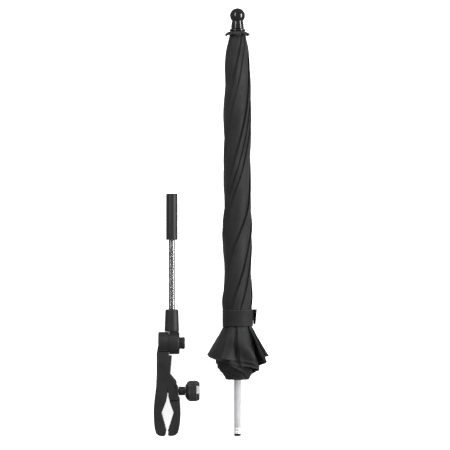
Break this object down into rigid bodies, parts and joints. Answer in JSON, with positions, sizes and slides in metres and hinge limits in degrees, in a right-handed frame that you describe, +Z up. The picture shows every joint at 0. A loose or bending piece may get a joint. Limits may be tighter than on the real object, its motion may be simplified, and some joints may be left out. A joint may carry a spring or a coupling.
{
  "type": "clip-on umbrella with gooseneck clamp",
  "caption": "Small clip-on umbrella, furled and tied, lying beside its screw clamp with tilt joint, flexible neck and pole sleeve.",
  "frame": {"origin": "middle of the lying object's outline, on the surface it lies on", "axes": "+Y along the pole towards the ball cap, +X from the clamp towards the umbrella, +Z up from the surface"},
  "size_m": [0.1616, 0.5992, 0.0449],
  "materials": {
    "canopy_fabric": "matt woven polyester, slight sheen",
    "strap_webbing": "matt folded tape with stitched edges",
    "gloss_black_plastic": "polished moulding",
    "matte_black_plastic": "fine moulded satin",
    "inner_black_plastic": "moulded satin",
    "pole_metal": "satin drawn tube",
    "neck_metal": "bright wound metal",
    "frame_steel": "bright steel"
  },
  "bodies": {
    "clamp": {"clamp_body": "matte_black_plastic", "boss_cap": "inner_black_plastic", "tilt_bolt": "frame_steel", "tilt_ring": "inner_black_plastic", "jaw_pin": "frame_steel", "clamp_nut": "frame_steel"},
    "moving_jaw": {"moving_jaw": "matte_black_plastic"},
    "screw_carriage": {"thrust_collar": "matte_black_plastic"},
    "clamp_knob": {"clamp_knob": "inner_black_plastic", "clamp_screw": "frame_steel"},
    "tilt_head": {"neck_socket": "matte_black_plastic", "neck_segment_1": "neck_metal", "button_spring": "frame_steel"},
    "release_button": {"release_button": "inner_black_plastic"},
    "neck_2": {"neck_segment_2": "neck_metal"},
    "neck_3": {"neck_segment_3": "neck_metal"},
    "neck_4": {"neck_segment_4": "neck_metal"},
    "neck_5": {"neck_segment_5": "neck_metal"},
    "sleeve": {"pole_sleeve": "matte_black_plastic", "neck_segment_6": "neck_metal"},
    "umbrella": {"pole_tube": "pole_metal", "pole_plug": "inner_black_plastic", "runner_stop": "frame_steel", "ball_cap": "gloss_black_plastic", "ferrule_collar": "gloss_black_plastic", "ruffle": "canopy_fabric", "top_notch": "inner_black_plastic", "canopy_roll": "canopy_fabric", "tie_strap": "strap_webbing", "strap_end": "strap_webbing"},
    "runner": {"runner": "inner_black_plastic"},
    "rib_1": {"rib_1": "frame_steel"},
    "stretcher_1": {"stretcher_1": "frame_steel"},
    "gore_1": {"gore_1": "canopy_fabric"},
    "rib_2": {"rib_2": "frame_steel"},
    "stretcher_2": {"stretcher_2": "frame_steel"},
    "gore_2": {"gore_2": "canopy_fabric"},
    "rib_3": {"rib_3": "frame_steel"},
    "stretcher_3": {"stretcher_3": "frame_steel"},
    "gore_3": {"gore_3": "canopy_fabric"},
    "rib_4": {"rib_4": "frame_steel"},
    "stretcher_4": {"stretcher_4": "frame_steel"},
    "gore_4": {"gore_4": "canopy_fabric"},
    "rib_5": {"rib_5": "frame_steel"},
    "stretcher_5": {"stretcher_5": "frame_steel"},
    "gore_5": {"gore_5": "canopy_fabric"},
    "rib_6": {"rib_6": "frame_steel"},
    "stretcher_6": {"stretcher_6": "frame_steel"},
    "gore_6": {"gore_6": "canopy_fabric"},
    "rib_7": {"rib_7": "frame_steel"},
    "stretcher_7": {"stretcher_7": "frame_steel"},
    "gore_7": {"gore_7": "canopy_fabric"},
    "rib_8": {"rib_8": "frame_steel"},
    "stretcher_8": {"stretcher_8": "frame_steel"},
    "gore_8": {"gore_8": "canopy_fabric"}
  },
  "joints": [
    {"name": "tilt_hinge", "type": "hinge", "parent": "clamp", "child": "tilt_head", "pos_m": [0, -0.1697, 0.0156], "axis": [1, 0, 0], "range_deg": [-90, 90]},
    {"name": "release_button_press", "type": "slide", "parent": "tilt_head", "child": "release_button", "axis": [-1, 0, 0], "range_m": [0, 0.003], "stiffness_N_per_m": 600, "deforming": ["button_spring"]},
    {"name": "neck_bend_1", "type": "hinge", "parent": "tilt_head", "child": "neck_2", "pos_m": [-0.0556, -0.11277, 0.0156], "axis": [1, 0, 0], "range_deg": [-18, 18]},
    {"name": "neck_bend_2", "type": "hinge", "parent": "neck_2", "child": "neck_3", "pos_m": [-0.0556, -0.09331, 0.0156], "axis": [1, 0, 0], "range_deg": [-18, 18]},
    {"name": "neck_bend_3", "type": "hinge", "parent": "neck_3", "child": "neck_4", "pos_m": [-0.0556, -0.07385, 0.0156], "axis": [1, 0, 0], "range_deg": [-18, 18]},
    {"name": "neck_bend_4", "type": "hinge", "parent": "neck_4", "child": "neck_5", "pos_m": [-0.0556, -0.05439, 0.0156], "axis": [1, 0, 0], "range_deg": [-18, 18]},
    {"name": "neck_bend_5", "type": "hinge", "parent": "neck_5", "child": "sleeve", "pos_m": [-0.0556, -0.03493, 0.0156], "axis": [1, 0, 0], "range_deg": [-18, 18]},
    {"name": "screw_travel", "type": "slide", "parent": "clamp", "child": "screw_carriage", "axis": [1, 0, 0], "range_m": [0, 0.0065]},
    {"name": "knob_turn", "type": "hinge", "parent": "screw_carriage", "child": "clamp_knob", "pos_m": [-0.03, -0.237, 0.014], "axis": [1, 0, 0], "range_deg": [0, 2340]},
    {"name": "jaw_hinge", "type": "hinge", "parent": "clamp", "child": "moving_jaw", "pos_m": [-0.0545, -0.2254, 0.014], "axis": [0, 0, 1], "range_deg": [0, 15.1]},
    {"name": "umbrella_to_sleeve", "type": "slide", "parent": "sleeve", "child": "umbrella", "axis": [-0.1712, 0.9852, -0.0128], "range_m": [0, 0.53799]},
    {"name": "runner_slide", "type": "slide", "parent": "umbrella", "child": "runner", "axis": [0, 1, 0], "range_m": [0, 0.31828], "deforming": ["canopy_roll", "tie_strap", "strap_end", "gore_1", "gore_2", "gore_3", "gore_4", "gore_5", "gore_6", "gore_7", "gore_8"]},
    {"name": "rib_hinge_1", "type": "hinge", "parent": "umbrella", "child": "rib_1", "pos_m": [0.04528, 0.256, 0.02614], "axis": [-0.3827, 0, 0.9239], "range_deg": [0, 78.2]},
    {"name": "rib_hinge_2", "type": "hinge", "parent": "umbrella", "child": "rib_2", "pos_m": [0.04014, 0.256, 0.03128], "axis": [-0.9239, 0, 0.3827], "range_deg": [0, 78.2]},
    {"name": "rib_hinge_3", "type": "hinge", "parent": "umbrella", "child": "rib_3", "pos_m": [0.03286, 0.256, 0.03128], "axis": [-0.9239, 0, -0.3827], "range_deg": [0, 78.2]},
    {"name": "rib_hinge_4", "type": "hinge", "parent": "umbrella", "child": "rib_4", "pos_m": [0.02772, 0.256, 0.02614], "axis": [-0.3827, 0, -0.9239], "range_deg": [0, 78.2]},
    {"name": "rib_hinge_5", "type": "hinge", "parent": "umbrella", "child": "rib_5", "pos_m": [0.02772, 0.256, 0.01886], "axis": [0.3827, 0, -0.9239], "range_deg": [0, 78.2]},
    {"name": "rib_hinge_6", "type": "hinge", "parent": "umbrella", "child": "rib_6", "pos_m": [0.03286, 0.256, 0.01372], "axis": [0.9239, 0, -0.3827], "range_deg": [0, 78.2]},
    {"name": "rib_hinge_7", "type": "hinge", "parent": "umbrella", "child": "rib_7", "pos_m": [0.04014, 0.256, 0.01372], "axis": [0.9239, 0, 0.3827], "range_deg": [0, 78.2]},
    {"name": "rib_hinge_8", "type": "hinge", "parent": "umbrella", "child": "rib_8", "pos_m": [0.04528, 0.256, 0.01886], "axis": [0.3827, 0, 0.9239], "range_deg": [0, 78.2]},
    {"name": "stretcher_hinge_1", "type": "hinge", "parent": "runner", "child": "stretcher_1", "pos_m": [0.0419, -0.184, 0.02777], "axis": [0.3827, 0, -0.9239], "range_deg": [0, 70.84]},
    {"name": "stretcher_hinge_2", "type": "hinge", "parent": "runner", "child": "stretcher_2", "pos_m": [0.03659, -0.184, 0.03004], "axis": [0.9239, 0, -0.3827], "range_deg": [0, 70.84]},
    {"name": "stretcher_hinge_3", "type": "hinge", "parent": "runner", "child": "stretcher_3", "pos_m": [0.03123, -0.184, 0.0279], "axis": [0.9239, 0, 0.3827], "range_deg": [0, 70.84]},
    {"name": "stretcher_hinge_4", "type": "hinge", "parent": "runner", "child": "stretcher_4", "pos_m": [0.02896, -0.184, 0.02259], "axis": [0.3827, 0, 0.9239], "range_deg": [0, 70.84]},
    {"name": "stretcher_hinge_5", "type": "hinge", "parent": "runner", "child": "stretcher_5", "pos_m": [0.0311, -0.184, 0.01723], "axis": [-0.3827, 0, 0.9239], "range_deg": [0, 70.84]},
    {"name": "stretcher_hinge_6", "type": "hinge", "parent": "runner", "child": "stretcher_6", "pos_m": [0.03641, -0.184, 0.01496], "axis": [-0.9239, 0, 0.3827], "range_deg": [0, 70.84]},
    {"name": "stretcher_hinge_7", "type": "hinge", "parent": "runner", "child": "stretcher_7", "pos_m": [0.04177, -0.184, 0.0171], "axis": [-0.9239, 0, -0.3827], "range_deg": [0, 70.84]},
    {"name": "stretcher_hinge_8", "type": "hinge", "parent": "runner", "child": "stretcher_8", "pos_m": [0.04404, -0.184, 0.02241], "axis": [-0.3827, 0, -0.9239], "range_deg": [0, 70.84]},
    {"name": "gore_spread_1", "type": "slide", "parent": "rib_1", "child": "gore_1", "axis": [-0.4271, 0.3743, 0.8231], "range_m": [0, 0.35985]},
    {"name": "gore_spread_2", "type": "slide", "parent": "rib_2", "child": "gore_2", "axis": [-0.884, 0.3743, 0.28], "range_m": [0, 0.35985]},
    {"name": "gore_spread_3", "type": "slide", "parent": "rib_3", "child": "gore_3", "axis": [-0.8231, 0.3743, -0.4271], "range_m": [0, 0.35985]},
    {"name": "gore_spread_4", "type": "slide", "parent": "rib_4", "child": "gore_4", "axis": [-0.28, 0.3743, -0.884], "range_m": [0, 0.35985]},
    {"name": "gore_spread_5", "type": "slide", "parent": "rib_5", "child": "gore_5", "axis": [0.4271, 0.3743, -0.8231], "range_m": [0, 0.35985]},
    {"name": "gore_spread_6", "type": "slide", "parent": "rib_6", "child": "gore_6", "axis": [0.884, 0.3743, -0.28], "range_m": [0, 0.35985]},
    {"name": "gore_spread_7", "type": "slide", "parent": "rib_7", "child": "gore_7", "axis": [0.8231, 0.3743, 0.4271], "range_m": [0, 0.35985]},
    {"name": "gore_spread_8", "type": "slide", "parent": "rib_8", "child": "gore_8", "axis": [0.28, 0.3743, 0.884], "range_m": [0, 0.35985]}
  ],
  "couplings": [
    {"joint": "neck_bend_2", "follows": "neck_bend_1", "ratio": 1},
    {"joint": "neck_bend_3", "follows": "neck_bend_1", "ratio": 1},
    {"joint": "neck_bend_4", "follows": "neck_bend_1", "ratio": 1},
    {"joint": "neck_bend_5", "follows": "neck_bend_1", "ratio": 1},
    {"joint": "knob_turn", "follows": "screw_travel", "rad_per_m": 6283.2},
    {"joint": "jaw_hinge", "follows": "screw_travel", "rad_per_m": 40.277},
    {"joint": "rib_hinge_1", "follows": "runner_slide", "rad_per_m": 4.2772},
    {"joint": "rib_hinge_2", "follows": "runner_slide", "rad_per_m": 4.2772},
    {"joint": "rib_hinge_3", "follows": "runner_slide", "rad_per_m": 4.2772},
    {"joint": "rib_hinge_4", "follows": "runner_slide", "rad_per_m": 4.2772},
    {"joint": "rib_hinge_5", "follows": "runner_slide", "rad_per_m": 4.2772},
    {"joint": "rib_hinge_6", "follows": "runner_slide", "rad_per_m": 4.2772},
    {"joint": "rib_hinge_7", "follows": "runner_slide", "rad_per_m": 4.2772},
    {"joint": "rib_hinge_8", "follows": "runner_slide", "rad_per_m": 4.2772},
    {"joint": "stretcher_hinge_1", "follows": "runner_slide", "rad_per_m": 3.8738},
    {"joint": "stretcher_hinge_2", "follows": "runner_slide", "rad_per_m": 3.8738},
    {"joint": "stretcher_hinge_3", "follows": "runner_slide", "rad_per_m": 3.8738},
    {"joint": "stretcher_hinge_4", "follows": "runner_slide", "rad_per_m": 3.8738},
    {"joint": "stretcher_hinge_5", "follows": "runner_slide", "rad_per_m": 3.8738},
    {"joint": "stretcher_hinge_6", "follows": "runner_slide", "rad_per_m": 3.8738},
    {"joint": "stretcher_hinge_7", "follows": "runner_slide", "rad_per_m": 3.8738},
    {"joint": "stretcher_hinge_8", "follows": "runner_slide", "rad_per_m": 3.8738},
    {"joint": "gore_spread_1", "follows": "runner_slide", "ratio": 1.1284},
    {"joint": "gore_spread_2", "follows": "runner_slide", "ratio": 1.1284},
    {"joint": "gore_spread_3", "follows": "runner_slide", "ratio": 1.1284},
    {"joint": "gore_spread_4", "follows": "runner_slide", "ratio": 1.1284},
    {"joint": "gore_spread_5", "follows": "runner_slide", "ratio": 1.1284},
    {"joint": "gore_spread_6", "follows": "runner_slide", "ratio": 1.1284},
    {"joint": "gore_spread_7", "follows": "runner_slide", "ratio": 1.1284},
    {"joint": "gore_spread_8", "follows": "runner_slide", "ratio": 1.1284}
  ]
}
